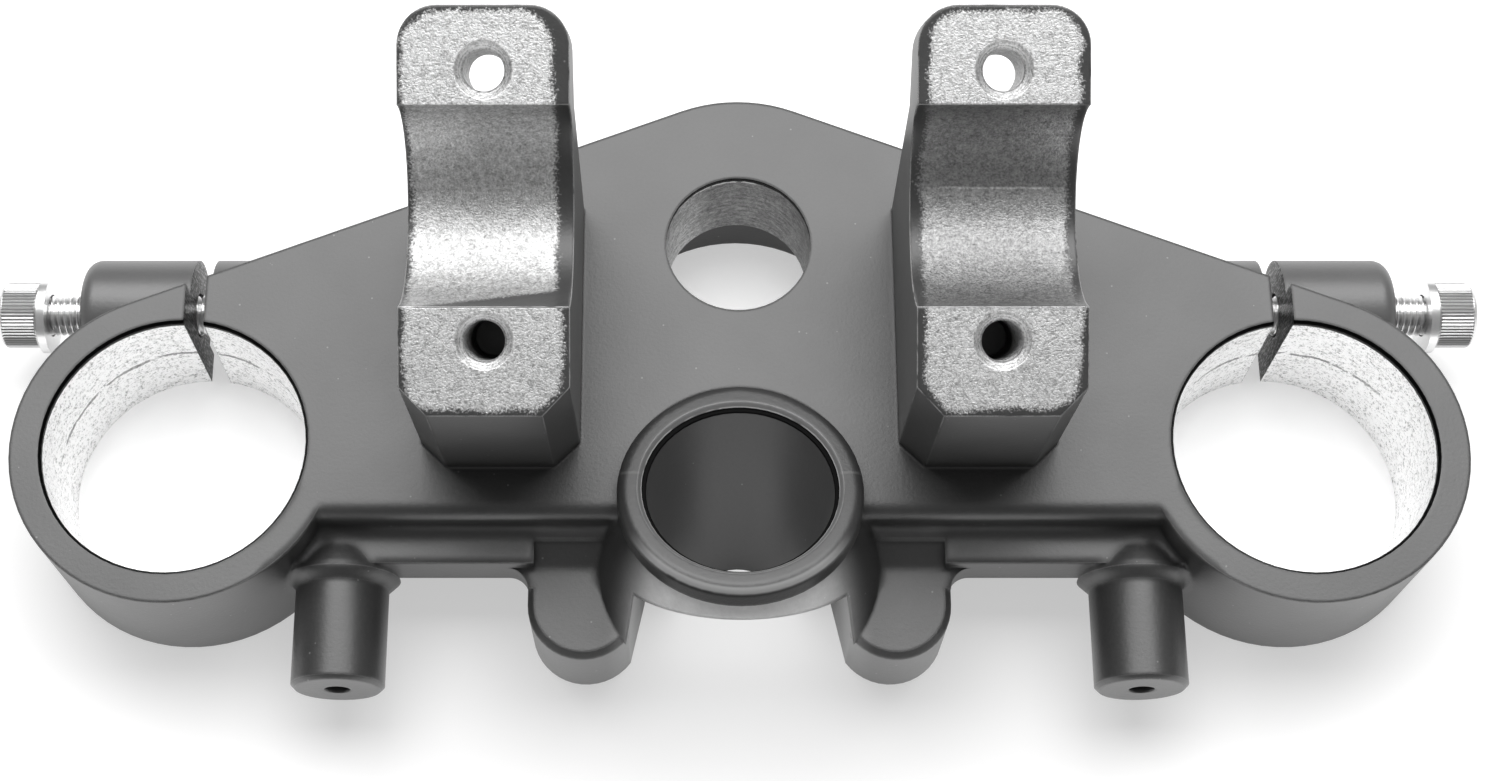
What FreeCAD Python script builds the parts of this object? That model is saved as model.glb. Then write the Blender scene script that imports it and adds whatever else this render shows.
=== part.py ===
import FreeCAD, Part
import math
import os
import Sketcher

# Upper fork clamp of a motorcycle, millimetres.
# Origin: steering stem axis in the deck's top face. X is right, Y is to the rear, Z is up.

doc = FreeCAD.newDocument("triple_clamp")
Vector = FreeCAD.Vector

# Driving dimensions. "ahead" and "back" are measured from the line through both fork axes,
# "drop" is measured down from the deck's top face and "spacing" from centre to centre.
SIZES = {
    "fork_spacing": 214.5,
    "fork_offset": 41.7,
    "fork_bore_radius": 25,
    "fork_wall": 6,
    "fork_lead_in": 0.6,
    "clamp_height": 31.6,
    "slit_width": 3.9,
    "pinch_axis_back": 33,
    "pinch_boss_radius": 11,
    "pinch_boss_outer": 22.2,
    "pinch_boss_inner": 20,
    "pinch_boss_round": 3,
    "arm_depth": 18,
    "deck_ahead": 14.2,
    "deck_round": 2.5,
    "ledge_drop": 8,
    "ledge_ahead": 20.9,
    "stem_bore_radius": 14.1,
    "stem_bore_depth": 22,
    "recess_radius": 29,
    "recess_back": 27,
    "hub_wall": 7,
    "relief_skin": 8,
    "relief_wall": 5,
    "relief_inner": 43,
    "relief_outer": 71,
    "relief_rib_back": 14,
    "relief_rib": 5,
    "post_spacing": 152,
    "post_radius": 8.9,
    "post_drop": 16.5,
    "post_root_ahead": 16,
    "post_tip_ahead": 43.3,
    "post_chamfer": 0.8,
    "collar_radius": 11,
    "collar_ahead": 21.8,
    "collar_fade": 4.6,
    "post_hole_radius": 2.5,
    "post_hole_depth": 16,
    "lug_spacing": 59.2,
    "lug_radius": 10.6,
    "lug_drop": 11.5,
    "lug_tip_ahead": 38.5,
    "lug_root_back": 10,
    "lug_chamfer": 1.2,
    "lug_corner_round": 4,
    "lug_ramp": 5.5,
    "lug_hole_radius": 3.4,
    "lug_hole_depth": 14,
    "boss_ahead": 10.4,
    "boss_rise": 6.5,
    "boss_tilt": 15,
    "boss_radius": 21.5,
    "boss_foot_radius": 29.3,
    "boss_depth": 24,
    "lip_radius": 23,
    "lip_height": 5,
    "lip_round": 2,
    "lip_chamfer": 0.8,
    "well_radius": 18.4,
    "well_mouth_depth": 1.2,
    "well_shoulder": 0.4,
    "well_ahead": 10.9,
    "well_tilt": 24.25,
    "well_draft": 9.25,
    "well_depth": 46,
    "notch_end_ahead": 20.3,
    "notch_corner_round": 2,
    "notch_width": 36.8,
    "notch_mouth_width": 44,
    "arch_width": 39.6,
    "arch_radius": 34,
    "arch_rise": 3.5,
    "riser_spacing": 90.4,
    "riser_width": 30,
    "riser_chamfer": 4.8,
    "riser_foot_ahead": 4.5,
    "riser_heel_back": 49,
    "riser_heel_height": 44,
    "riser_block_depth": 8,
    "riser_rear_round": 7,
    "bar_back": 25.35,
    "bar_height": 52,
    "bar_tilt": 24,
    "saddle_radius": 17.5,
    "saddle_gap": 0.9,
    "pad_front": 36.6,
    "pad_rear": 34.8,
    "bar_bolt_reach": 23.5,
    "bar_bolt_hole_radius": 3.6,
    "bar_bolt_chamfer": 1.5,
    "front_hole_depth": 24,
    "screw_radius": 4,
    "screw_length": 45,
    "screw_head_radius": 6.5,
    "screw_head_height": 8,
    "screw_head_chamfer": 0.8,
    "screw_hex_width": 6,
    "screw_hex_depth": 4,
    "screw_backed_out": 7.35,
    "washer_radius": 7.5,
    "washer_thickness": 1.6,
    "washer_clearance": 0.2,
    "pinch_hole_clearance": 0.5,
    "thread_clearance": 0.1,
}

sheet = doc.addObject("Spreadsheet::Sheet", "Sizes")
for row, (alias, value) in enumerate(SIZES.items(), start=1):
    sheet.set("A%d" % row, alias)
    sheet.set("B%d" % row, str(value))
    sheet.setAlias("B%d" % row, alias)
doc.recompute()


def of_sheet(text):
    """Write each size named in the text as a cell of the sheet."""
    words = text.split(" ")
    return " ".join("Sizes." + word if word in SIZES else word for word in words)


def value_of(text):
    return float(sheet.evalExpression(of_sheet(text)))


# Places that several features share, each written from the driving dimensions
FORK_X = "( fork_spacing / 2 )"
RING_RADIUS = "( fork_bore_radius + fork_wall )"
CENTRE_LINE = "sqrt( ( fork_spacing / 2 ) ^ 2 + fork_offset ^ 2 )"
REAR_SIN = "( fork_offset / " + CENTRE_LINE + " )"
REAR_COS = "( fork_spacing / 2 / " + CENTRE_LINE + " )"


def from_forks(back):
    """Y of a place that is given as a distance behind the fork axis line."""
    return back + " - fork_offset"


def ahead_of_forks(ahead):
    return "- ( " + ahead + " ) - fork_offset"


def origin_plane(body, role):
    return next(item for item in body.Origin.OriginFeatures if item.Role == role)


def new_body(name):
    body = doc.addObject("PartDesign::Body", name)
    body.Label = name
    return body


def new_sketch(body, name, role, base=(None, None, None), tilt=None):
    """Sketch on an origin plane, moved by expressions and tilted about X."""
    sketch = body.newObject("Sketcher::SketchObject", name)
    sketch.AttachmentSupport = [(origin_plane(body, role), "")]
    sketch.MapMode = "FlatFace"
    if tilt:
        turn = FreeCAD.Rotation(Vector(1, 0, 0), value_of(tilt))
        sketch.AttachmentOffset = FreeCAD.Placement(Vector(0, 0, 0), turn)
        sketch.setExpression(".AttachmentOffset.Rotation.Angle", of_sheet(tilt))
    for axis, text in zip("xyz", base):
        if text:
            sketch.setExpression(".AttachmentOffset.Base." + axis, of_sheet(text))
    return sketch


def bind(sketch, constraint, text):
    index = sketch.addConstraint(constraint)
    sketch.setExpression("Constraints[%d]" % index, of_sheet(text))


def pin(sketch, geometry, point, x_text, y_text):
    """Fix one point of a sketch at two expressions, measured from the sketch's origin."""
    bind(sketch, Sketcher.Constraint("DistanceX", -1, 1, geometry, point, value_of(x_text)), x_text)
    bind(sketch, Sketcher.Constraint("DistanceY", -1, 1, geometry, point, value_of(y_text)), y_text)


def add_circle(sketch, x_text, y_text, radius_text):
    centre = Vector(value_of(x_text), value_of(y_text), 0)
    circle = Part.Circle(centre, Vector(0, 0, 1), value_of(radius_text))
    geometry = sketch.addGeometry(circle, False)
    pin(sketch, geometry, 3, x_text, y_text)
    bind(sketch, Sketcher.Constraint("Radius", geometry, value_of(radius_text)), radius_text)
    return geometry


def add_outline(sketch, corners, arcs=()):
    """Closed outline through the corners, in order, by straight lines.

    An arc (start corner, centre x, centre y, radius, way round) takes the place of the line
    that starts at that corner. The way round is 1 against the clock and -1 with it. Its ends are
    corners, so one coordinate of its centre, across the chord, is all that it still needs.
    """
    points = [Vector(value_of(x_text), value_of(y_text), 0) for x_text, y_text in corners]
    arc_at = {arc[0]: arc[1:] for arc in arcs}
    ends = []
    for number, start in enumerate(points):
        end = points[(number + 1) % len(points)]
        if number not in arc_at:
            ends.append((sketch.addGeometry(Part.LineSegment(start, end), False), 1, 2))
            continue
        x_text, y_text, radius_text, way = arc_at[number]
        centre = Vector(value_of(x_text), value_of(y_text), 0)
        first, last = (start - centre, end - centre) if way > 0 else (end - centre, start - centre)
        angles = [math.atan2(spoke.y, spoke.x) for spoke in (first, last)]
        circle = Part.Circle(centre, Vector(0, 0, 1), value_of(radius_text))
        geometry = sketch.addGeometry(Part.ArcOfCircle(circle, *angles), False)
        steep = abs(end.y - start.y) > abs(end.x - start.x)
        kind, text = ("DistanceX", x_text) if steep else ("DistanceY", y_text)
        bind(sketch, Sketcher.Constraint(kind, -1, 1, geometry, 3, value_of(text)), text)
        ends.append((geometry, 1, 2) if way > 0 else (geometry, 2, 1))
    for number, (geometry, start, end) in enumerate(ends):
        after, after_start, _ = ends[(number + 1) % len(ends)]
        sketch.addConstraint(Sketcher.Constraint("Coincident", geometry, end, after, after_start))
        pin(sketch, geometry, start, *corners[number])


HALF_TURN = 180
FULL_TURN = 360


def extrude(body, kind, name, sketch, length, along_normal=False):
    """Pad or pocket of one sketch by a bound length, along its normal or against it."""
    feature = body.newObject("PartDesign::" + kind, name)
    feature.Profile = (sketch, [""])
    feature.Length = value_of(length)
    feature.setExpression("Length", of_sheet(length))
    feature.Reversed = along_normal if kind == "Pocket" else not along_normal
    return feature


def revolve(body, kind, name, sketch, angle=FULL_TURN):
    """Turn a sketch around its own vertical axis, evenly to both sides of its plane."""
    feature = body.newObject("PartDesign::" + kind, name)
    feature.Profile = (sketch, [""])
    feature.ReferenceAxis = (sketch, ["V_Axis"])
    feature.Midplane = True
    feature.Angle = angle
    return feature


def dress(body, kind, name, size, picked):
    """Fillet or chamfer the edges that the test picks out of the body's present shape."""
    doc.recompute()
    base = body.Tip
    edges = ["Edge%d" % number for number, edge in enumerate(base.Shape.Edges, start=1) if picked(edge)]
    feature = body.newObject("PartDesign::" + kind, name)
    feature.Base = (base, edges)
    feature.setExpression("Size" if kind == "Chamfer" else "Radius", of_sheet(size))
    return feature


def passes(edge, *places):
    """True where the edge passes one of the places."""
    return any(edge.distToShape(Part.Vertex(place))[0] < NEAR for place in places)


def place_of(x_text, y_text, z_text):
    return Vector(value_of(x_text), value_of(y_text), value_of(z_text))


NEAR = 0.02
PINCH_Y = from_forks("pinch_axis_back")
PINCH_Z = "- clamp_height / 2"
LUG_X = "( lug_spacing / 2 )"
LUG_Y = ahead_of_forks("lug_tip_ahead - lug_radius")
POST_X = "( post_spacing / 2 )"
RISER_X = "( riser_spacing / 2 )"
RISER_INNER = "( riser_spacing / 2 - riser_width / 2 )"
BAR_Y = "( bar_back - fork_offset )"


# The casting is drawn as its right half, mirrored once, and then bored on its middle plane
yoke = new_body("yoke")


def draw_deck():
    """Deck, the ledge along its front, the fork ring and the hub around the stem."""
    deck = new_sketch(yoke, "deck_outline", "XY_Plane")
    front = ahead_of_forks("deck_ahead")
    along = RING_RADIUS + " * " + REAR_SIN
    across = RING_RADIUS + " * " + REAR_COS
    corners = [("0", front), (FORK_X, front), (FORK_X + " + " + along, "- fork_offset + " + across),
               (along, across), ("0", RING_RADIUS)]
    add_outline(deck, corners, [(3, "0", "0", RING_RADIUS, 1)])
    extrude(yoke, "Pad", "deck", deck, "arm_depth")

    ledge = new_sketch(yoke, "ledge_outline", "XY_Plane", (None, None, "- ledge_drop"))
    ledge_front = ahead_of_forks("ledge_ahead")
    add_outline(ledge, [("0", ledge_front), (FORK_X, ledge_front), (FORK_X, "- fork_offset"),
                        ("0", "- fork_offset")])
    extrude(yoke, "Pad", "ledge", ledge, "arm_depth - ledge_drop")
    brow = place_of(RISER_X, front, "0")
    foot = place_of(RISER_X, front, "- ledge_drop")
    dress(yoke, "Fillet", "deck_front_round", "deck_round", lambda edge: passes(edge, brow, foot))

    ring = new_sketch(yoke, "ring_outline", "XY_Plane")
    add_circle(ring, FORK_X, "- fork_offset", RING_RADIUS)
    extrude(yoke, "Pad", "ring", ring, "clamp_height")

    hub = new_sketch(yoke, "hub_outline", "XY_Plane")
    hub_y = from_forks("recess_back")
    hub_radius = "( recess_radius + hub_wall )"
    add_outline(hub, [("0", hub_y + " - " + hub_radius), ("0", hub_y + " + " + hub_radius)],
                [(0, "0", hub_y, hub_radius, 1)])
    extrude(yoke, "Pad", "hub", hub, "clamp_height")


def draw_pinch_boss():
    """Barrel behind the ring that the pinch screw passes through."""
    barrel = new_sketch(yoke, "pinch_boss_outline", "YZ_Plane", (None, None, FORK_X + " - pinch_boss_inner"))
    add_circle(barrel, PINCH_Y, PINCH_Z, "pinch_boss_radius")
    extrude(yoke, "Pad", "pinch_boss", barrel, "pinch_boss_inner + pinch_boss_outer", along_normal=True)
    rim = place_of(FORK_X + " + pinch_boss_outer", PINCH_Y + " + pinch_boss_radius", PINCH_Z)
    dress(yoke, "Fillet", "pinch_boss_end_round", "pinch_boss_round", lambda edge: passes(edge, rim))


def draw_lug():
    """Lug beside the ignition boss, with the block that joins both lugs below the boss."""
    lug = new_sketch(yoke, "lug_outline", "XY_Plane", (None, None, "- lug_drop"))
    inner = LUG_X + " - lug_radius"
    outer = LUG_X + " + lug_radius"
    root = from_forks("lug_root_back")
    add_outline(lug, [(inner, LUG_Y), (outer, LUG_Y), (outer, root), ("0", root), ("0", LUG_Y)],
                [(0, LUG_X, LUG_Y, "lug_radius", 1)])
    extrude(yoke, "Pad", "lug", lug, "clamp_height - lug_drop")
    nose = place_of(LUG_X, ahead_of_forks("lug_tip_ahead"), "- lug_drop")
    flank = place_of(outer, LUG_Y, "- lug_drop")
    dress(yoke, "Chamfer", "lug_edge", "lug_chamfer", lambda edge: passes(edge, nose, flank))

    corner = new_sketch(yoke, "corner_outline", "XY_Plane", (None, None, "- lug_drop"))
    ledge_front = ahead_of_forks("ledge_ahead")
    flare = outer + " + lug_corner_round"
    flare_tip = ledge_front + " - lug_corner_round"
    within = outer + " - lug_chamfer"
    add_outline(corner, [(outer, flare_tip), (flare, ledge_front), (flare, root), (within, root),
                         (within, flare_tip)],
                [(0, flare, flare_tip, "lug_corner_round", -1)])
    extrude(yoke, "Pad", "lug_corner", corner, "arm_depth - lug_drop")

    ramp = new_sketch(yoke, "ramp_outline", "YZ_Plane", (None, None, inner))
    add_outline(ramp, [(ledge_front, "- lug_drop"), (ledge_front + " + lug_ramp", "- ledge_drop"),
                       (ledge_front, "- ledge_drop")])
    extrude(yoke, "Pocket", "lug_ramp", ramp, "2 * lug_radius - lug_chamfer", along_normal=True)


def draw_post():
    """Front post, a round bar that grows out of the ledge."""
    root = "post_root_ahead + fork_offset"
    post = new_sketch(yoke, "post_outline", "XZ_Plane", (None, None, root))
    add_circle(post, POST_X, "- post_drop", "post_radius")
    extrude(yoke, "Pad", "post", post, "post_tip_ahead - post_root_ahead", along_normal=True)
    collar = new_sketch(yoke, "collar_outline", "XY_Plane", (POST_X, None, "- post_drop"))
    crest = ahead_of_forks("collar_ahead")
    start = crest + " - ( collar_radius - post_radius )"
    fade = crest + " + collar_fade"
    add_outline(collar, [("0", start), ("post_radius", start), ("collar_radius", crest),
                         ("post_radius", fade), ("0", fade)])
    revolve(yoke, "Revolution", "post_collar", collar)
    tip = place_of(POST_X, ahead_of_forks("post_tip_ahead"), "- post_drop - post_radius")
    dress(yoke, "Chamfer", "post_edge", "post_chamfer", lambda edge: passes(edge, tip))


def draw_boss():
    """Ignition boss: a tilted skirt that widens downward under a round lip."""
    skirt = new_sketch(yoke, "boss_outline", "XZ_Plane", (None, "boss_rise", "boss_ahead + fork_offset"),
                       "- boss_tilt")
    add_outline(skirt, [("0", "- lip_height / 2"), ("boss_radius", "- lip_height / 2"),
                        ("boss_radius", "- lip_height"), ("boss_foot_radius", "- boss_depth"),
                        ("0", "- boss_depth")])
    revolve(yoke, "Revolution", "boss", skirt, HALF_TURN)

    lip = new_sketch(yoke, "lip_outline", "XY_Plane", (None, ahead_of_forks("boss_ahead"), "boss_rise"),
                     "- boss_tilt")
    add_outline(lip, [("0", "- lip_radius"), ("0", "lip_radius")], [(0, "0", "0", "lip_radius", 1)])
    extrude(yoke, "Pad", "lip", lip, "lip_height")


def cut_notch():
    """Notch between the lugs, wider at its mouth, and the flat arch that it cuts in the boss."""
    spring = "( arch_rise - arch_radius + sqrt( arch_radius ^ 2 - ( arch_width / 2 ) ^ 2 ) )"
    end = ahead_of_forks("notch_end_ahead")
    tip = ahead_of_forks("lug_tip_ahead")
    beyond = ahead_of_forks("lug_tip_ahead + lug_radius")
    notch = new_sketch(yoke, "notch_outline", "XY_Plane", (None, None, spring))
    bend = "notch_width / 2 - notch_corner_round"
    bend_tip = end + " - notch_corner_round"
    add_outline(notch, [("0", end), (bend, end), ("notch_width / 2", bend_tip),
                        ("notch_mouth_width / 2", tip), ("notch_mouth_width / 2", beyond), ("0", beyond)],
                [(1, bend, bend_tip, "notch_corner_round", -1)])
    extrude(yoke, "Pocket", "notch", notch, "clamp_height + " + spring)

    arch = new_sketch(yoke, "arch_outline", "XZ_Plane", (None, None, "notch_end_ahead + fork_offset"))
    add_outline(arch, [("0", spring), ("arch_width / 2", spring), ("0", "arch_rise")],
                [(1, "0", "arch_rise - arch_radius", "arch_radius", 1)])
    extrude(yoke, "Pocket", "arch", arch, "lug_tip_ahead", along_normal=True)


def on_bar_tilt(along, above):
    """Y and Z of a place given along the tilted clamping plane and above it."""
    y_text = BAR_Y + " + ( " + along + " ) * cos( bar_tilt ) - ( " + above + " ) * sin( bar_tilt )"
    z_text = "bar_height + ( " + along + " ) * sin( bar_tilt ) + ( " + above + " ) * cos( bar_tilt )"
    return y_text, z_text


def draw_riser():
    """Handlebar arm, drawn from the side, with the half-round saddle for the bar."""
    profile = new_sketch(yoke, "riser_outline", "YZ_Plane", (None, None, RISER_INNER))
    saddle_end = "sqrt( saddle_radius ^ 2 - saddle_gap ^ 2 )"
    corners = [
        (ahead_of_forks("riser_foot_ahead"), "- ledge_drop"),
        (from_forks("riser_heel_back"), "- ledge_drop"),
        (from_forks("riser_heel_back"), "riser_heel_height"),
        on_bar_tilt("pad_rear", "- riser_block_depth"),
        on_bar_tilt("pad_rear", "0"),
        on_bar_tilt(saddle_end, "0"),
        on_bar_tilt("- " + saddle_end, "0"),
        on_bar_tilt("- pad_front", "0"),
        (ahead_of_forks("riser_foot_ahead"), "0"),
    ]
    centre = on_bar_tilt("0", "saddle_gap")
    add_outline(profile, corners, [(5, centre[0], centre[1], "saddle_radius", -1)])
    extrude(yoke, "Pad", "riser", profile, "riser_width", along_normal=True)
    foot = place_of("0", ahead_of_forks("riser_foot_ahead"), "0")
    front = place_of("0", *on_bar_tilt("- pad_front", "0"))
    rear = place_of("0", *on_bar_tilt("pad_rear", "- riser_block_depth / 2"))
    sides = [place_of(side, "0", "0") for side in (RISER_INNER, RISER_INNER + " + riser_width")]
    front_corners = [side + (foot + front) / 2 for side in sides]
    rear_corners = [side + rear for side in sides]
    dress(yoke, "Chamfer", "riser_front_corners", "riser_chamfer", lambda edge: passes(edge, *front_corners))
    dress(yoke, "Fillet", "riser_rear_corners", "riser_rear_round", lambda edge: passes(edge, *rear_corners))


def bore_fork_ring():
    """Fork bore, the slit at its rear and the pinch screw's holes across the slit."""
    bore = new_sketch(yoke, "fork_bore_outline", "XY_Plane")
    add_circle(bore, FORK_X, "- fork_offset", "fork_bore_radius")
    extrude(yoke, "Pocket", "fork_bore", bore, "clamp_height")
    mouth = place_of(FORK_X, ahead_of_forks("fork_bore_radius"), "0")
    dress(yoke, "Chamfer", "fork_bore_lead_in", "fork_lead_in", lambda edge: passes(edge, mouth))

    slit = new_sketch(yoke, "slit_outline", "XY_Plane")
    inner = FORK_X + " - slit_width"
    rear = PINCH_Y + " + 2 * pinch_boss_radius"
    add_outline(slit, [(inner, "- fork_offset"), (FORK_X, "- fork_offset"), (FORK_X, rear), (inner, rear)])
    extrude(yoke, "Pocket", "slit", slit, "clamp_height")

    clear = new_sketch(yoke, "pinch_clear_outline", "YZ_Plane", (None, None, FORK_X))
    add_circle(clear, PINCH_Y, PINCH_Z, "screw_radius + pinch_hole_clearance")
    extrude(yoke, "Pocket", "pinch_clear_hole", clear, "pinch_boss_outer", along_normal=True)

    tapped = new_sketch(yoke, "pinch_tapped_outline", "YZ_Plane", (None, None, FORK_X))
    add_circle(tapped, PINCH_Y, PINCH_Z, "screw_radius + thread_clearance")
    depth = "screw_length - screw_backed_out - pinch_boss_outer + 2 * thread_clearance"
    extrude(yoke, "Pocket", "pinch_tapped_hole", tapped, depth)


def drill_holes():
    """Holes for the bar clamp's bolts, in the post's end and under the lug."""
    for name, along, depth in (("rear_bolt", "bar_bolt_reach", "2 * riser_block_depth"),
                               ("front_bolt", "- bar_bolt_reach", "front_hole_depth")):
        place = (None, BAR_Y, "bar_height")
        hole = new_sketch(yoke, name + "_outline", "XY_Plane", place, "bar_tilt")
        add_circle(hole, RISER_X, along, "bar_bolt_hole_radius")
        extrude(yoke, "Pocket", name + "_hole", hole, depth)
        mouth = place_of(RISER_X + " + bar_bolt_hole_radius", *on_bar_tilt(along, "0"))
        dress(yoke, "Chamfer", name + "_chamfer", "bar_bolt_chamfer", lambda edge: passes(edge, mouth))

    post_end = "post_tip_ahead + fork_offset"
    post_hole = new_sketch(yoke, "post_hole_outline", "XZ_Plane", (None, None, post_end))
    add_circle(post_hole, POST_X, "- post_drop", "post_hole_radius")
    extrude(yoke, "Pocket", "post_hole", post_hole, "post_hole_depth")

    lug_hole = new_sketch(yoke, "lug_hole_outline", "XY_Plane", (None, None, "- clamp_height"))
    add_circle(lug_hole, LUG_X, LUG_Y, "lug_hole_radius")
    extrude(yoke, "Pocket", "lug_hole", lug_hole, "lug_hole_depth", along_normal=True)


def hollow_underside():
    """Round recess under the hub and two relief pockets under the arm, with a rib between."""
    recess = new_sketch(yoke, "recess_outline", "XY_Plane", (None, None, "- clamp_height"))
    recess_y = from_forks("recess_back")
    add_outline(recess, [("0", recess_y + " - recess_radius"), ("0", recess_y + " + recess_radius")],
                [(0, "0", recess_y, "recess_radius", 1)])
    depth = "clamp_height - stem_bore_depth"
    extrude(yoke, "Pocket", "recess", recess, depth, along_normal=True)

    slope = "( fork_offset / ( fork_spacing / 2 ) )"
    rear_edge = "( ( fork_bore_radius + fork_wall - relief_wall ) / " + REAR_COS + " )"
    rib_front = from_forks("relief_rib_back - relief_rib / 2")
    rib_rear = from_forks("relief_rib_back + relief_rib / 2")
    front = ahead_of_forks("deck_ahead - relief_wall")
    outlines = {
        "front_relief": [("relief_inner", front), ("relief_outer", front),
                         ("relief_outer", rib_front), ("relief_inner", rib_front)],
        "rear_relief": [("relief_inner", rib_rear), ("relief_outer", rib_rear),
                        ("relief_outer", rear_edge + " - relief_outer * " + slope),
                        ("relief_inner", rear_edge + " - relief_inner * " + slope)],
    }
    for name, corners in outlines.items():
        sketch = new_sketch(yoke, name + "_outline", "XY_Plane", (None, None, "- arm_depth"))
        add_outline(sketch, corners)
        extrude(yoke, "Pocket", name, sketch, "arm_depth - relief_skin", along_normal=True)


def bore_middle():
    """Stem bore, and the ignition well, a tapered bore that leans forward more than its boss."""
    stem = new_sketch(yoke, "stem_bore_outline", "XY_Plane")
    add_circle(stem, "0", "0", "stem_bore_radius")
    extrude(yoke, "Pocket", "stem_bore", stem, "clamp_height")

    mouth = new_sketch(yoke, "well_mouth_outline", "XY_Plane",
                       (None, ahead_of_forks("boss_ahead"), "boss_rise"), "- boss_tilt")
    add_circle(mouth, "0", "0", "well_radius")
    extrude(yoke, "Pocket", "well_mouth", mouth, "well_mouth_depth")

    def on_rim(radius):
        """Rear of a circle around the tilted rim plane's centre."""
        y_text = ahead_of_forks("boss_ahead") + " + " + radius + " * cos( boss_tilt )"
        return place_of("0", y_text, "boss_rise - " + radius + " * sin( boss_tilt )")

    inner, outer = on_rim("well_radius"), on_rim("lip_radius")
    dress(yoke, "Fillet", "lip_outer_edge", "lip_round", lambda edge: passes(edge, outer))
    dress(yoke, "Chamfer", "lip_inner_edge", "lip_chamfer", lambda edge: passes(edge, inner))

    well = new_sketch(yoke, "well_outline", "XZ_Plane", (None, "boss_rise", "well_ahead + fork_offset"),
                      "- well_tilt")
    top = "lip_radius * sin( well_tilt - boss_tilt )"
    narrowing = " * sin( well_draft ) / cos( well_draft )"
    throat = "( well_radius - well_shoulder ) * cos( well_tilt - boss_tilt )"
    add_outline(well, [("0", top), (throat + " + " + top + narrowing, top),
                       (throat + " - well_depth" + narrowing, "- well_depth"), ("0", "- well_depth")])
    revolve(yoke, "Groove", "ignition_well", well)


def mirror_whole():
    """Mirror all that is drawn so far. The half has to be computed before its mirror is made."""
    doc.recompute()
    half = yoke.newObject("PartDesign::Mirrored", "both_halves")
    half.TransformMode = "Whole shape"
    half.MirrorPlane = (origin_plane(yoke, "YZ_Plane"), [""])
    yoke.Tip = half


draw_deck()
draw_pinch_boss()
draw_lug()
draw_post()
draw_boss()
cut_notch()
draw_riser()
bore_fork_ring()
drill_holes()
hollow_underside()
mirror_whole()
bore_middle()


def place_at_pinch(body, side, x_text):
    """Put a body on a pinch boss, its own X pointing outward; side is 1 right, -1 left."""
    turn = 0 if side > 0 else HALF_TURN
    body.Placement = FreeCAD.Placement(Vector(0, 0, 0), FreeCAD.Rotation(Vector(0, 0, 1), turn))
    sign = "" if side > 0 else "- "
    body.setExpression(".Placement.Base.x", of_sheet(sign + "( " + x_text + " )"))
    body.setExpression(".Placement.Base.y", of_sheet(PINCH_Y))
    body.setExpression(".Placement.Base.z", of_sheet(PINCH_Z))


def draw_washer(name, side):
    washer = new_body(name)
    ring = new_sketch(washer, name + "_outline", "YZ_Plane")
    add_circle(ring, "0", "0", "washer_radius")
    add_circle(ring, "0", "0", "screw_radius + washer_clearance")
    extrude(washer, "Pad", name + "_ring", ring, "washer_thickness")
    place_at_pinch(washer, side, HEAD_SEAT)


def draw_screw(name, side):
    """Socket head cap screw; the head's seat is in its YZ plane."""
    screw = new_body(name)
    shank = new_sketch(screw, name + "_shank_outline", "YZ_Plane")
    add_circle(shank, "0", "0", "screw_radius")
    extrude(screw, "Pad", name + "_shank", shank, "screw_length")
    head = new_sketch(screw, name + "_head_outline", "YZ_Plane")
    add_circle(head, "0", "0", "screw_head_radius")
    extrude(screw, "Pad", name + "_head", head, "screw_head_height", along_normal=True)

    socket = new_sketch(screw, name + "_socket_outline", "YZ_Plane", (None, None, "screw_head_height"))
    reach = "screw_hex_width / sqrt( 3 )"
    half = "screw_hex_width / 2"
    add_outline(socket, [(reach, "0"), (reach + " / 2", half), ("- " + reach + " / 2", half),
                         ("- " + reach, "0"), ("- " + reach + " / 2", "- " + half),
                         (reach + " / 2", "- " + half)])
    extrude(screw, "Pocket", name + "_socket", socket, "screw_hex_depth")

    crown = place_of("screw_head_height", "screw_head_radius", "0")
    tip = place_of("- screw_length", "screw_radius", "0")
    dress(screw, "Chamfer", name + "_edges", "screw_head_chamfer", lambda edge: passes(edge, crown, tip))
    place_at_pinch(screw, side, HEAD_SEAT)


HEAD_SEAT = "fork_spacing / 2 + pinch_boss_outer + screw_backed_out + washer_thickness"
for name, side in (("right", 1), ("left", -1)):
    draw_screw("pinch_screw_" + name, side)
    draw_washer("pinch_washer_" + name, side)


doc.recompute()


def check(body):
    """Stop before anything is written if an object failed or a shape is not sound."""
    for item in doc.Objects:
        if "Invalid" in item.State or "Error" in item.State:
            raise RuntimeError(item.Label + " did not compute")
    if body.Shape.isNull() or not body.Shape.isValid():
        raise RuntimeError(body.Label + " has no sound shape")


os.makedirs("parts", exist_ok=True)
for body in [item for item in doc.Objects if item.TypeId == "PartDesign::Body"]:
    check(body)
    shape = body.Shape
    print(body.Label, len(shape.Solids), "solids", round(shape.Volume), "mm3", shape.BoundBox)
    shape.exportStep("parts/" + body.Label + ".step")
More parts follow.
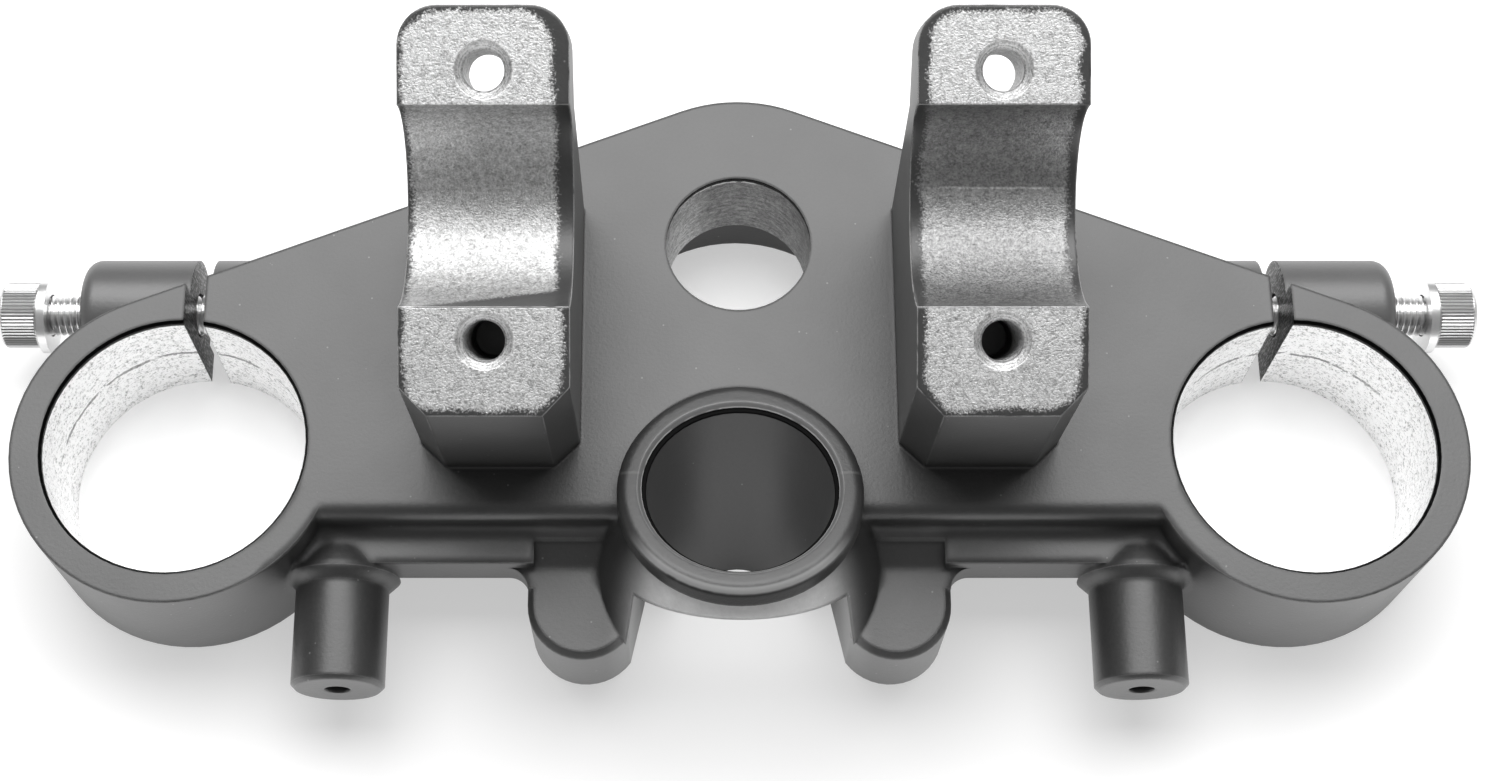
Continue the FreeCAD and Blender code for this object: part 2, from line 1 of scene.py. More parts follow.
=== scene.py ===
import math
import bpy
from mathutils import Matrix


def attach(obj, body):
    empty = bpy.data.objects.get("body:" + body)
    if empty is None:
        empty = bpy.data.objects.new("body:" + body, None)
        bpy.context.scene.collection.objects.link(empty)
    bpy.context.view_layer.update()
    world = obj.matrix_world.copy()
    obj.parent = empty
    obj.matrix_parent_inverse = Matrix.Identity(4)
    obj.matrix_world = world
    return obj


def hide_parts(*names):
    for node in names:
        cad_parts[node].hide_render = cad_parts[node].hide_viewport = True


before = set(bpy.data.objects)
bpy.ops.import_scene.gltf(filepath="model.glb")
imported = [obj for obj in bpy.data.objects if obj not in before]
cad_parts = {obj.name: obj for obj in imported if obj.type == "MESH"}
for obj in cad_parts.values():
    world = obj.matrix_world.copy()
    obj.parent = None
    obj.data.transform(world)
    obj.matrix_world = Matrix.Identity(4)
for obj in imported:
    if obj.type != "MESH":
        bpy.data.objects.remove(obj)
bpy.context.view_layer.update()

from types import SimpleNamespace

import bmesh
import bpy
from mathutils import Vector

# Looks of a motorcycle's upper fork clamp. Metres, in the frame of the solids:
# X to the right, Y to the rear, Z up, origin on the stem's axis in the deck's top face.

MM = 0.001

# Places and sizes of the solids, in millimetres, that materials and added pieces follow
FORK_X = 107.25
FORK_Y = -41.7
FORK_RADIUS = 25
UNDERSIDE = -31.6
BAR_Y = -16.35
BAR_Z = 52
BAR_TILT = math.radians(24)
SADDLE_RADIUS = 17.5
SADDLE_GAP = 0.9
PAD_FRONT = 36.6
PAD_REAR = 34.8
ARM_X = 45.2
ARM_WIDTH = 30
BAR_BOLT_REACH = 23.5
BAR_BOLT_MOUTH = 4.8
STEM_RADIUS = 14.1
STEM_DEPTH = 22
SLIT_WIDTH = 3.9
PINCH_Y = -8.7
PINCH_Z = -15.8
BARREL_RADIUS = 11
HEAD_SEAT = 138.4
HEAD_RADIUS = 6.5
HEAD_HEIGHT = 8
HEX_HALF = 3
SCREW_RADIUS = 4
SCREW_LENGTH = 45
THREAD_PITCH = 1.25
THREAD_DEPTH = 0.6
BOSS_Y = -52.1
BOSS_Z = 6.5
BOSS_TILT = math.radians(15)
WELL_RADIUS = 18.4
WELL_LEAN = 0.163
LIP_RADIUS = 23
PAD_CORNER = 6.0
TURNING_PITCH = 0.4
SCRIBE_HEIGHT = -14.0

# Tones of the casting, from 0 for black to 1 for white
METAL_TONE = 0.56
# Black of the rims, also the painted shade in the well's mouth, under the boss's lip and on the fork bores'
# chamfers
BLACK_AND_SHADE_TONE = 0.006
DARKEST_TONE = 0.004
BRIGHTEST_TONE = 0.95

# Points that make up the threaded and knurled screws, and the size of their details in millimetres
KNURLS = 57
POINTS_PER_KNURL = 6
KNURL_DEPTH = 0.32
SOCKET_DEPTH = 4
SHANK_POINTS = 40
ROWS_PER_TURN = 8
AXIS_RADIUS = 0.02

# Floor, lamp, world and camera. Places and the sizes of floor and lamp are in metres,
# and the floor's gap below the part, the lens and the sensor are in millimetres
FLOOR_HALF = 1.5
FLOOR_GAP = 0.05
LAMP_PLACE = (0, 0.45, 0.95)
LAMP_TARGET = (0, 0.0, 0)
LAMP_WIDTH = 1.4
LAMP_DEPTH = 0.8
LAMP_WATTS = 15
WORLD_STRENGTH = 0.25
CAMERA_PLACE = (-0.0085, -0.20135, 0.4455)
CAMERA_PITCH = math.radians(68.392)
CAMERA_LENS = 59.98
CAMERA_SENSOR = 36
CAMERA_SHIFT = (0.0369, -0.0191)


class Shader:
    """Short ways to add and join the nodes of one material. Places are in millimetres."""

    def __init__(self, name):
        self.material = bpy.data.materials.new(name)
        self.material.use_nodes = True
        self.tree = self.material.node_tree
        self.surface = self.tree.nodes["Principled BSDF"]
        place = self.add("ShaderNodeTexCoord").outputs["Object"]
        self.place = self.vector("MULTIPLY", place, (1 / MM, 1 / MM, 1 / MM))

    def add(self, kind, **settings):
        node = self.tree.nodes.new(kind)
        for name, value in settings.items():
            setattr(node, name, value)
        return node

    def feed(self, socket, value):
        if isinstance(value, bpy.types.NodeSocket):
            self.tree.links.new(value, socket)
        else:
            socket.default_value = value

    def set(self, **inputs):
        for name, value in inputs.items():
            self.feed(self.surface.inputs[name.replace("_", " ").title()], value)

    def math(self, operation, first, second=0.0):
        node = self.add("ShaderNodeMath", operation=operation)
        self.feed(node.inputs[0], first)
        self.feed(node.inputs[1], second)
        return node.outputs[0]

    def total(self, *values):
        result = values[0]
        for value in values[1:]:
            result = self.math("ADD", result, value)
        return result

    def product(self, *values):
        result = values[0]
        for value in values[1:]:
            result = self.math("MULTIPLY", result, value)
        return result

    def difference(self, first, second):
        return self.math("SUBTRACT", first, second)

    def opposite(self, mask):
        return self.difference(1.0, mask)

    def absolute(self, value):
        return self.math("ABSOLUTE", value)

    def largest(self, *values):
        result = values[0]
        for value in values[1:]:
            result = self.math("MAXIMUM", result, value)
        return result

    def vector(self, operation, first, second):
        node = self.add("ShaderNodeVectorMath", operation=operation)
        self.feed(node.inputs[0], first)
        self.feed(node.inputs[1], second)
        return node.outputs[0]

    def axes(self):
        node = self.add("ShaderNodeSeparateXYZ")
        self.feed(node.inputs[0], self.place)
        return node.outputs

    def length(self, first, second):
        squares = self.total(self.product(first, first), self.product(second, second))
        return self.math("SQRT", squares)

    def step(self, value, zero, one):
        """0 where the value is at zero, 1 where it is at one, and smooth between."""
        node = self.add("ShaderNodeMapRange", interpolation_type="SMOOTHSTEP", clamp=True)
        self.feed(node.inputs["Value"], value)
        low, high = (zero, one) if zero < one else (one, zero)
        node.inputs["From Min"].default_value = low
        node.inputs["From Max"].default_value = high
        node.inputs["To Min"].default_value = 0 if zero < one else 1
        node.inputs["To Max"].default_value = 1 if zero < one else 0
        return node.outputs["Result"]

    def noise(self, size, detail=2, roughness=0.5, stretch=(1, 1, 1), offset=0.0):
        """Noise between 0 and 1 whose grains are about the size given, in millimetres."""
        node = self.add("ShaderNodeTexNoise")
        place = self.vector("MULTIPLY_ADD", self.place, tuple(1 / s for s in stretch))
        self.feed(place.node.inputs[2], (offset, offset, offset))
        self.feed(node.inputs["Vector"], place)
        node.inputs["Scale"].default_value = 1 / size
        node.inputs["Detail"].default_value = detail
        node.inputs["Roughness"].default_value = roughness
        return node.outputs["Fac"]

    def specks(self, size, share):
        """1 on scattered small dots about the size given, elsewhere 0."""
        node = self.add("ShaderNodeTexVoronoi")
        self.feed(node.inputs["Vector"], self.place)
        node.inputs["Scale"].default_value = 1 / (size * 8)
        return self.step(node.outputs["Distance"], share, share * 0.6)

    def mix(self, factor, first, second):
        node = self.add("ShaderNodeMix", data_type="FLOAT")
        self.feed(node.inputs["Factor"], factor)
        self.feed(node.inputs["A"], first)
        self.feed(node.inputs["B"], second)
        return node.outputs["Result"]

    def grey(self, value):
        node = self.add("ShaderNodeCombineColor")
        for socket in node.inputs[:3]:
            self.feed(socket, value)
        return node.outputs[0]

    def band(self, value, centre, half, soft):
        """1 where the value is within half of the centre, fading to 0 over the soft width."""
        return self.step(self.absolute(self.difference(value, centre)), half + soft, half)

    def spot(self, axes, centre, radius):
        """1 in a small ball, fading to 0 at its edge."""
        gaps = [self.difference(axis, place) for axis, place in zip(axes, centre)]
        squares = self.total(*[self.product(gap, gap) for gap in gaps])
        return self.step(self.math("SQRT", squares), radius, radius * 0.6)

    def edges(self, reach):
        """1 where the surface turns within reach, in millimetres."""
        rounded = self.add("ShaderNodeBevel", samples=6)
        rounded.inputs["Radius"].default_value = reach * MM
        node = self.add("ShaderNodeVectorMath", operation="DOT_PRODUCT")
        self.feed(node.inputs[0], rounded.outputs["Normal"])
        self.feed(node.inputs[1], self.add("ShaderNodeNewGeometry").outputs["True Normal"])
        return self.step(node.outputs["Value"], 0.985, 0.9)

    def openness(self, reach):
        """1 in the open and less in narrow corners, looking as far as reach, in millimetres."""
        node = self.add("ShaderNodeAmbientOcclusion", samples=6)
        node.inputs["Distance"].default_value = reach * MM
        return node.outputs["AO"]

    def bump(self, height, depth, edge=None):
        """Normal of a surface raised by height times depth, with edges rounded, in millimetres."""
        node = self.add("ShaderNodeBump")
        if edge:
            rounded = self.add("ShaderNodeBevel", samples=6)
            self.feed(rounded.inputs["Radius"], self.product(edge, MM))
            self.feed(node.inputs["Normal"], rounded.outputs["Normal"])
        node.inputs["Strength"].default_value = 1
        node.inputs["Distance"].default_value = depth * MM
        self.feed(node.inputs["Height"], height)
        return node.outputs["Normal"]


def casting_places(s):
    """Places on the casting, in millimetres, that the parts of its material share."""
    at = SimpleNamespace()
    at.x, at.y, at.z = s.axes()
    at.side = s.absolute(at.x)
    at.on_right = s.step(at.x, -1, 1)

    # Along the clamping plane of the arms, and above it
    from_bar_y = s.difference(at.y, BAR_Y)
    from_bar_z = s.difference(at.z, BAR_Z)
    cosine, sine = math.cos(BAR_TILT), math.sin(BAR_TILT)
    at.along = s.total(s.product(from_bar_y, cosine), s.product(from_bar_z, sine))
    at.above = s.total(s.product(from_bar_y, -sine), s.product(from_bar_z, cosine))
    at.in_arm = s.product(s.step(at.side, ARM_X - 16, ARM_X - 15.5),
                          s.step(at.side, ARM_X + 16, ARM_X + 15.5), s.step(at.z, 25, 30))

    # From the axes of the bores and of the boss. The heights of the boss count from its lip
    at.from_fork = s.length(s.difference(at.side, FORK_X), s.difference(at.y, FORK_Y))
    at.from_stem = s.length(at.x, at.y)
    from_lip_y = s.difference(at.y, BOSS_Y)
    from_lip_z = s.difference(at.z, BOSS_Z)
    cosine, sine = math.cos(BOSS_TILT), math.sin(BOSS_TILT)
    at.above_lip = s.total(s.product(from_lip_y, sine), s.product(from_lip_z, cosine))
    at.behind = s.total(s.product(from_lip_y, cosine), s.product(from_lip_z, -sine))
    at.from_boss = s.length(at.x, at.behind)
    at.from_well = s.length(at.x, s.difference(at.behind, s.product(at.above_lip, WELL_LEAN)))
    return at


def mask_arms(s, at):
    """Bare saddles and pads. Overspray of the coat leaves them an uneven border."""
    from_bar = s.length(at.along, s.difference(at.above, SADDLE_GAP))
    at.in_saddle = s.step(from_bar, SADDLE_RADIUS + 0.4, SADDLE_RADIUS + 0.2)
    at.on_pad = s.step(s.absolute(at.above), 0.3, 0.15)
    at.ragged = s.product(s.difference(s.noise(6, 2, 0.5), 0.5), 2.4)
    fine = s.product(s.difference(s.noise(0.45, 2, 0.7), 0.5), 3.4)

    # The border is wider on the inner side of the left arm's rear pad
    half_along = (PAD_FRONT + PAD_REAR) / 2 - 1.2
    half_width = ARM_WIDTH / 2
    off_along = s.absolute(s.difference(at.along, (PAD_REAR - PAD_FRONT) / 2))
    at_front = s.step(at.along, -12, -20)
    shift = s.mix(s.largest(at_front, at.on_right), 1.1, 0.2)
    half_across = s.mix(at_front, half_width - 2.0, s.mix(at.on_right, half_width - 1.2, half_width - 1.8))
    at.off_across = s.absolute(s.difference(at.side, s.total(shift, ARM_X)))
    beyond_along = s.largest(s.difference(off_along, half_along - PAD_CORNER), 0.0)
    beyond_across = s.largest(s.total(at.off_across, s.product(half_across, -1), PAD_CORNER), 0.0)
    outside = s.total(s.length(beyond_along, beyond_across), -PAD_CORNER, at.ragged, fine)

    # A wedge of coat crosses the front of the left saddle
    inward = s.difference(ARM_X + 12, at.side)
    past_wedge = s.total(at.along, SADDLE_RADIUS, s.product(inward, -0.11), s.product(fine, 0.3))
    wedge = s.product(s.step(past_wedge, 0.3, -0.3), at.in_saddle, s.opposite(at.on_right))
    at.bare_arm = s.product(s.largest(at.in_saddle, at.on_pad), at.in_arm, s.step(outside, 0.7, -0.6),
                            s.opposite(wedge))


def mask_bores(s, at):
    """Fork bores with their lead-in, stem bore, slit walls and bolt holes."""
    at.in_fork = s.product(s.step(at.from_fork, FORK_RADIUS + 0.2, FORK_RADIUS + 0.05),
                           s.step(at.z, -0.4, -0.7))
    at.in_stem = s.product(s.step(at.from_stem, STEM_RADIUS + 0.3, STEM_RADIUS + 0.1),
                           s.step(at.z, -0.2, -0.5), s.step(at.z, -STEM_DEPTH - 0.1, -STEM_DEPTH + 0.1))
    slit_end = FORK_Y + FORK_RADIUS
    at.in_slit = s.product(s.step(at.side, FORK_X - SLIT_WIDTH - 0.1, FORK_X - SLIT_WIDTH),
                           s.step(at.side, FORK_X + 0.1, FORK_X),
                           s.step(at.y, slit_end - 0.6, slit_end - 0.3),
                           s.step(at.z, 0.0, -0.2))
    off_bolt = s.difference(s.absolute(at.along), BAR_BOLT_REACH)
    from_bolt = s.length(off_bolt, s.difference(at.side, ARM_X))
    at.in_bolt = s.product(s.step(from_bolt, BAR_BOLT_MOUTH + 0.1, BAR_BOLT_MOUTH), at.in_arm)
    turns = s.math("SINE", s.product(at.above, 2 * math.pi / THREAD_PITCH))
    at.thread = s.product(turns, at.in_bolt, s.step(at.above, -1.2, -1.6))
    rings = s.math("SINE", s.product(from_bolt, 2 * math.pi / TURNING_PITCH))
    at.turned = s.product(at.in_bolt, s.step(at.above, -1.75, -1.6), s.total(0.35, s.product(rings, 0.25)))
    # Chamfer at the top of each fork bore: black in its own coat, and drawn with no shine as painted shade
    # too
    at.lead_in = s.product(s.step(at.from_fork, FORK_RADIUS + 0.9, FORK_RADIUS + 0.6),
                           s.step(at.z, -0.05, -0.12), s.step(at.z, -1.7, -1.4))


def mask_boss(s, at):
    """Well, mouth and lip of the ignition boss, and the front of its skirt, with painted shade in the mouth
    and under the lip, a painted highlight on the lip and a painted reflection on the skirt's front.
    """
    at.in_well = s.product(s.step(at.from_well, WELL_RADIUS + 0.8, WELL_RADIUS + 0.5),
                           s.step(at.above_lip, -0.4, -0.8))
    # Thin band just inside the well's mouth, made black: painted shade
    at.at_mouth = s.product(at.in_well, s.band(at.above_lip, -1.3, 0.2, 0.1))
    at.at_chamfer = s.product(s.step(at.from_well, WELL_RADIUS + 1.0, WELL_RADIUS + 0.8),
                              s.step(at.above_lip, -1.0, -0.8))
    at.mouth_burr = s.product(at.at_chamfer, s.band(at.above_lip, -0.85, 0.1, 0.12),
                              s.step(s.noise(5, 2, 0.6), 0.35, 0.5))
    # Side of the lip at the front, made black: painted shade under the lip
    at.under_lip = s.product(s.step(at.from_boss, LIP_RADIUS - 0.9, LIP_RADIUS - 0.4),
                             s.step(at.above_lip, -0.9, -1.7), s.step(at.above_lip, -5.5, -4.9),
                             s.step(at.behind, -11, -19))
    at.lip_shine = s.product(s.step(at.from_boss, LIP_RADIUS - 1.4, LIP_RADIUS - 0.9),
                             s.band(at.above_lip, -0.7, 0.3, 0.5), s.step(at.behind, -9, -17))
    # Front of the skirt, to be painted lighter: a painted reflection of the floor in front
    at.front_skin = s.product(s.step(at.behind, -7, -20), s.step(at.above_lip, -4.9, -5.5),
                              s.step(at.from_boss, LIP_RADIUS - 2.5, LIP_RADIUS - 2), s.step(at.side, 26, 13))


def coat(s, at, peel):
    """Tone and roughness of the coat, with the marks of casting and handling on it, painted shade in narrow
    corners, and painted highlights and reflections on some edges and faces.
    """
    cloud = s.noise(22, 3, 0.6)
    opening = s.openness(4)
    dust = s.specks(0.5, 0.06)
    plain = s.total(s.product(peel, 0.018), s.product(cloud, 0.022), 0.018, s.product(dust, 0.12))
    # Darker in narrow corners and creases, down to 0.3 of the plain tone: painted shade
    tone = s.product(plain, s.mix(opening, 0.3, 1.0))
    rough = s.total(0.3, s.product(cloud, 0.12), s.product(peel, 0.06), s.product(at.in_well, 0.08))

    # Parting line and nicks on the lip, edges lightened partly as wear and partly as painted highlight, a
    # lighter chamfer, burr and well at the boss's mouth, painted light on the pinch barrels, a painted
    # reflection on the front of the skirt and a painted highlight on the lip
    parting = s.product(s.band(at.y, -49.3, 0.12, 0.3), s.band(at.side, 20.5, 1.6, 0.6),
                        s.step(at.z, -1.5, -0.5))
    axes = (at.x, at.y, at.z)
    nick = s.largest(s.spot(axes, (5.7, -34.6, 1.8), 0.6), s.spot(axes, (21.0, -42.6, 0.4), 0.9))
    # Painted reflection on the skirt's front, mottled by noise
    skin = s.product(at.front_skin, s.total(0.5, s.product(s.noise(3, 3, 0.7, offset=9.0), 0.35)))
    # Pinch barrels painted lighter: painted light in place of even front lighting
    from_pinch = s.length(s.difference(at.y, PINCH_Y), s.difference(at.z, PINCH_Z))
    barrel_painted_light = s.product(s.step(from_pinch, BARREL_RADIUS + 0.4, BARREL_RADIUS + 0.1),
                          s.step(at.z, PINCH_Z - 2, PINCH_Z + 3), s.step(at.side, FORK_X - 24, FORK_X - 20))
    # Open convex edges made lighter: partly wear, partly painted highlight
    worn_and_lit_edges = s.product(s.edges(0.45), s.step(opening, 0.8, 0.95), s.mix(at.in_arm, 0.25, 1.0),
                     s.step(s.noise(4, 2, 0.6, offset=2.0), 0.3, 0.5))
    tone = s.total(tone, s.product(worn_and_lit_edges, 0.5), s.product(barrel_painted_light, 0.07), s.product(parting, 0.05),
                   s.product(nick, -0.02), skin, s.product(at.at_chamfer, 0.12),
                   s.product(at.mouth_burr, 0.4), s.product(at.in_well, 0.04), s.product(at.lip_shine, 0.3))
    return tone, rough


def black_rims_and_shade(s, at):
    """Mask of black: the black rims, where the fork bores' black chamfers also stand as painted shade, and
    the painted shade in the well's mouth and under the boss's lip. Also the bright burr at the rear rim of
    the stem bore.
    """
    rim_width = s.total(s.product(s.noise(3, 2, 0.6), 1.0), 0.7)
    below_rim = s.total(at.z, s.product(s.step(at.y, -6, 8), rim_width))
    at_rim = s.product(s.step(at.from_stem, STEM_RADIUS + 0.9, STEM_RADIUS + 0.7),
                       s.step(at.z, -0.03, -0.1), s.step(below_rim, -0.3, -0.1))
    burr = s.product(s.band(below_rim, -0.5, 0.15, 0.15), at.in_stem, s.step(at.x, 5, 1),
                     s.step(at.y, 6, 10), s.step(s.noise(1.5, 2, 0.6, offset=5.0), 0.42, 0.5))
    return s.largest(at.lead_in, at_rim, at.at_mouth, s.product(at.under_lip, 0.95)), burr


def fork_bore_tone(s, at):
    """Streaks from machining, a scribed line and scores near the slit."""
    streak = s.noise(3, 3, 0.6, stretch=(4, 4, 0.35))
    wavy = s.total(at.z, s.product(s.noise(9, 3, 0.6), 3.0))
    scribe = s.product(s.band(wavy, SCRIBE_HEIGHT, 0.25, 0.5), at.in_fork,
                       s.step(s.noise(4, 2, 0.6), 0.36, 0.48),
                       s.step(s.total(at.y, s.product(at.on_right, -14)), FORK_Y - 2, FORK_Y + 6))
    scores = s.product(s.step(s.noise(0.9, 2, 0.6, stretch=(6, 6, 0.3)), 0.6, 0.7),
                       s.step(at.y, FORK_Y + 8, FORK_Y + 24), at.in_fork)
    return s.product(s.total(1.42, s.product(streak, 0.3)), s.total(1.0, s.product(scribe, -0.7)),
                     s.total(1.0, s.product(scores, -0.45)))


def right_saddle_shade_and_patch(s, at):
    """The right saddle is painted darker, painted shade for the highlight that it lacks, with a brighter
    patch below a light line.
    """
    uneven = s.total(at.along, s.product(at.ragged, 0.2))
    brighter_patch = s.product(s.step(uneven, 3.9, 3.5), s.step(at.along, -9, -2),
                          s.step(at.off_across, 13.5, 12.5))
    line = s.product(s.band(uneven, 3.6, 0.1, 0.2), s.step(at.off_across, 11, 8))
    return s.total(0.55, s.product(brighter_patch, 0.25), s.product(line, 0.3))


def stem_bore_tone(s, at):
    """Upright streaks, brighter at the left."""
    streak = s.noise(2, 3, 0.7, stretch=(1.5, 1.5, 0.5), offset=7.0)
    return s.product(s.total(0.1, s.product(streak, 0.9)), s.mix(s.step(at.x, -4, -12), 1.0, 2.2))


def metal(s, at, grain):
    """Tone of the blasted metal: sparkling grain, and what each place adds to it."""
    coarse = s.noise(1.1, 2, 0.6, offset=3.0)
    blotch = s.noise(6, 3, 0.6)
    rough_grain = s.total(s.product(s.difference(grain, 0.5), 1.1),
                          s.product(s.difference(coarse, 0.5), 0.7))
    tone = s.total(METAL_TONE, s.product(rough_grain, s.mix(at.in_fork, 1.0, 1.6)),
                   s.product(blotch, 0.12))
    on_right_saddle = s.product(at.in_saddle, at.in_arm, at.on_right)
    return s.product(tone, s.mix(at.in_fork, 1.0, fork_bore_tone(s, at)),
                     s.mix(s.product(at.on_pad, at.in_arm), 1.0, 1.3),
                     s.mix(on_right_saddle, 1.0, right_saddle_shade_and_patch(s, at)),
                     s.mix(at.in_stem, 1.0, stem_bore_tone(s, at)), s.total(1.0, at.turned))


def rounded_edge(s, at, bare):
    """How far the edges look rounded, in millimetres: most along the front of the deck."""
    in_brow = s.product(s.step(at.y, -68, -65), s.step(at.y, -48, -51), s.step(at.side, 92, 88),
                        s.step(at.side, 20, 24), s.step(at.z, 0.5, -0.2))
    return s.mix(s.largest(at.at_mouth, bare), s.mix(in_brow, 0.9, 2.6), 0.35)


def casting_material():
    """Satin dark coat, with bare blasted metal where the casting clamps or was machined."""
    s = Shader("casting")
    at = casting_places(s)
    mask_arms(s, at)
    mask_bores(s, at)
    mask_boss(s, at)
    bare = s.largest(at.bare_arm, at.in_fork, at.in_stem, at.in_bolt)
    peel = s.noise(0.7, 3, 0.6)
    grain = s.noise(0.42, 2, 0.75)
    coat_tone, coat_rough = coat(s, at, peel)
    # dark holds the black rims and the painted shade in the well's mouth, under the lip and on the fork
    # bores' chamfers
    dark, burr = black_rims_and_shade(s, at)
    scuffs = s.step(s.noise(0.9, 3, 0.7, stretch=(1, 0.4, 2)), 0.45, 0.7)
    slit_tone = s.total(0.02, s.product(scuffs, 0.5))

    tone = s.mix(bare, coat_tone, metal(s, at, grain))
    tone = s.mix(at.in_slit, tone, slit_tone)
    tone = s.total(s.mix(dark, tone, BLACK_AND_SHADE_TONE), burr)
    s.set(base_color=s.grey(s.math("MINIMUM", s.largest(tone, DARKEST_TONE), BRIGHTEST_TONE)))
    s.set(metallic=s.largest(bare, dark, s.product(at.in_slit, 0.8)))
    s.set(roughness=s.mix(bare, coat_rough, s.total(0.42, s.product(grain, 0.15))))
    s.surface.inputs["Specular IOR Level"].default_value = 0.9
    height = s.total(s.product(peel, s.mix(bare, 0.035, 0.0)), s.product(grain, s.mix(bare, 0.0, 0.12)),
                     s.product(at.thread, 0.35))
    s.set(normal=s.bump(height, 1.0, edge=rounded_edge(s, at, bare)))
    return s.material


def plated_material():
    """Bright plated steel, a little cloudy, with painted shade in the grooves of its knurls and thread."""
    s = Shader("plated_steel")
    x, y, z = s.axes()
    side = s.absolute(x)
    from_axis = s.length(s.difference(y, PINCH_Y), s.difference(z, PINCH_Z))
    on_shank = s.step(side, HEAD_SEAT, HEAD_SEAT - 0.1)
    in_thread = s.product(s.step(from_axis, SCREW_RADIUS - 0.15, SCREW_RADIUS - 0.45), on_shank)
    at_knurls = s.product(s.step(side, HEAD_SEAT + 0.6, HEAD_SEAT + 0.8),
                          s.step(side, HEAD_SEAT + HEAD_HEIGHT - 0.8, HEAD_SEAT + HEAD_HEIGHT - 1.0),
                          s.step(from_axis, HEAD_RADIUS - 1.0, HEAD_RADIUS - 0.8))
    in_knurl = s.product(s.step(from_axis, HEAD_RADIUS - 0.08, HEAD_RADIUS - 0.25), at_knurls)
    # Painted shade in the grooves of the thread and knurls
    groove_shade = s.opposite(s.total(s.product(in_thread, 0.3), s.product(in_knurl, 0.5)))
    cloud = s.noise(1.5, 3, 0.6)
    s.set(base_color=s.grey(s.product(s.total(s.mix(on_shank, 0.72, 0.92), s.product(cloud, 0.12)), groove_shade)))
    s.surface.inputs["Metallic"].default_value = 1
    s.set(roughness=s.total(0.26, s.product(cloud, 0.12)))
    s.set(normal=s.bump(s.noise(0.5, 2, 0.5), 0.01))
    return s.material


def floor_material():
    """White floor that still shows the soft shadow of the part, darkened around the part by a painted shadow
    that spares the floor under the bores.
    """
    s = Shader("floor")
    x, y, z = s.axes()
    side = s.absolute(x)
    from_middle = s.length(s.product(x, 1 / 190), s.product(s.difference(y, FORK_Y), 1 / 88))
    from_fork = s.length(s.difference(side, FORK_X), s.difference(y, FORK_Y))
    # Painted shadow: the floor darker around the part, except under the bores
    painted_shadow = s.product(s.step(from_middle, 1.0, 0.5), s.step(from_fork, 20, 26),
                       s.step(s.length(x, y), 8, 16))
    s.set(base_color=s.grey(s.difference(0.86, s.product(painted_shadow, 0.4))))
    s.surface.inputs["Roughness"].default_value = 0.8
    s.surface.inputs["Specular IOR Level"].default_value = 0.2
    rays = s.add("ShaderNodeLightPath").outputs
    seen = s.largest(rays["Is Camera Ray"], rays["Is Transmission Ray"])
    # Glow seen only in reflections: an even backdrop, made brighter in front of the part and under the fork
    # bores as painted reflection
    reflection_glow = s.total(0.35, s.product(s.step(y, -55, -85), 0.6), s.product(s.step(from_fork, 28, 22), 0.25))
    strength = s.total(s.product(seen, 0.5), s.product(rays["Is Glossy Ray"], reflection_glow))
    glow = s.add("ShaderNodeEmission")
    s.feed(glow.inputs["Strength"], strength)
    both = s.add("ShaderNodeAddShader")
    s.feed(both.inputs[0], s.surface.outputs[0])
    s.feed(both.inputs[1], glow.outputs[0])
    s.feed(s.tree.nodes["Material Output"].inputs["Surface"], both.outputs[0])
    return s.material


def add_floor():
    mesh = bpy.data.meshes.new("floor")
    level = (UNDERSIDE - FLOOR_GAP) * MM
    half = FLOOR_HALF
    corners = [(-half, -half, level), (half, -half, level), (half, half, level), (-half, half, level)]
    mesh.from_pydata(corners, [], [(0, 1, 2, 3)])
    mesh.materials.append(floor_material())
    floor = bpy.data.objects.new("floor", mesh)
    bpy.context.collection.objects.link(floor)


def ring_of(mesh, out, radius_at, count, sign):
    """Ring of points on the pinch axis: out is the distance outward from the head's seat."""
    points = []
    for number in range(count):
        angle = 2 * math.pi * number / count
        radius = radius_at(angle)
        place = Vector((sign * (HEAD_SEAT + out), PINCH_Y + radius * math.cos(angle),
                        PINCH_Z + radius * math.sin(angle)))
        points.append(mesh.verts.new(place * MM))
    return points


def join_rings(mesh, rings):
    for first, second in zip(rings, rings[1:]):
        count = len(first)
        for number in range(count):
            after = (number + 1) % count
            mesh.faces.new((first[number], first[after], second[after], second[number]))


def head_rings(mesh, sign):
    """Knurled head with rounded rims and its hexagon socket."""
    count = KNURLS * POINTS_PER_KNURL
    socket_floor = HEAD_HEIGHT - SOCKET_DEPTH

    def knurled(radius, cut):
        return lambda angle: radius - cut * (0.5 + 0.5 * math.cos(KNURLS * angle))

    def hexagon(extra):
        sixth = math.pi / 3
        return lambda angle: (HEX_HALF + extra) / math.cos(angle % sixth - sixth / 2)

    rounds = [(0.0, SCREW_RADIUS - THREAD_DEPTH, 0), (0.0, HEAD_RADIUS - 0.5, 0),
              (0.2, HEAD_RADIUS - 0.15, 0), (0.5, HEAD_RADIUS, 0),
              (0.8, HEAD_RADIUS, KNURL_DEPTH), (HEAD_HEIGHT - 1.1, HEAD_RADIUS, KNURL_DEPTH),
              (HEAD_HEIGHT - 0.8, HEAD_RADIUS - 0.08, 0), (HEAD_HEIGHT - 0.3, HEAD_RADIUS - 0.45, 0),
              (HEAD_HEIGHT, HEAD_RADIUS - 1.0, 0)]
    rings = [ring_of(mesh, out, knurled(radius, cut), count, sign) for out, radius, cut in rounds]
    for out, extra in ((HEAD_HEIGHT, 0.3), (HEAD_HEIGHT - 0.3, 0.0), (socket_floor, 0.0)):
        rings.append(ring_of(mesh, out, hexagon(extra), count, sign))
    rings.append(ring_of(mesh, socket_floor - 0.5, lambda angle: AXIS_RADIUS, count, sign))
    return rings


